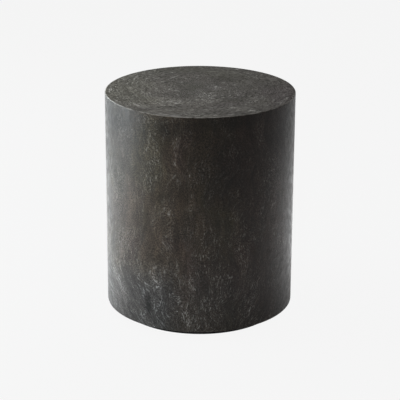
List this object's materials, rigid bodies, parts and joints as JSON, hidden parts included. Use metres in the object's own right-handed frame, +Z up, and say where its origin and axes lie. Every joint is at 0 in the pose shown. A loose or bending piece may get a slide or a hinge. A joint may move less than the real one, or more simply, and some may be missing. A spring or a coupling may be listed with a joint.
{
  "type": "drum accent table",
  "caption": "Round drum side table: a hollow timber-faced drum with a flat eased top, framed with ribs and posts, on a recessed plinth with glides.",
  "frame": {"origin": "centre of the drum's footprint, on the floor under the glides", "axes": "+Z up the axis of the drum; -Y towards the front; +Y to the back, where the facing's upright seam is"},
  "size_m": [0.38, 0.38, 0.46],
  "materials": {
    "facing": "charcoal stained, open grain, waxed to a satin sheen",
    "plywood": "raw sanded plywood",
    "post": "raw planed softwood",
    "black_stain": "black stained, matt",
    "glide": "moulded black nylon, matt",
    "screw": "zinc plated"
  },
  "bodies": {
    "root": {"top_facing": "facing", "side_facing": "facing", "outer_ply": "plywood", "inner_ply": "plywood", "top_board": "plywood", "base_board": "black_stain", "lower_rib": "plywood", "upper_rib": "plywood", "plinth": "black_stain", "top_screws": "screw", "base_screws": "screw", "plinth_screws": "screw", "glide_screws": "screw", "post_front_right": "post", "post_back_right": "post", "post_back_left": "post", "post_front_left": "post", "glide_front_right": "glide", "glide_back_right": "glide", "glide_back_left": "glide", "glide_front_left": "glide"}
  },
  "joints": []
}
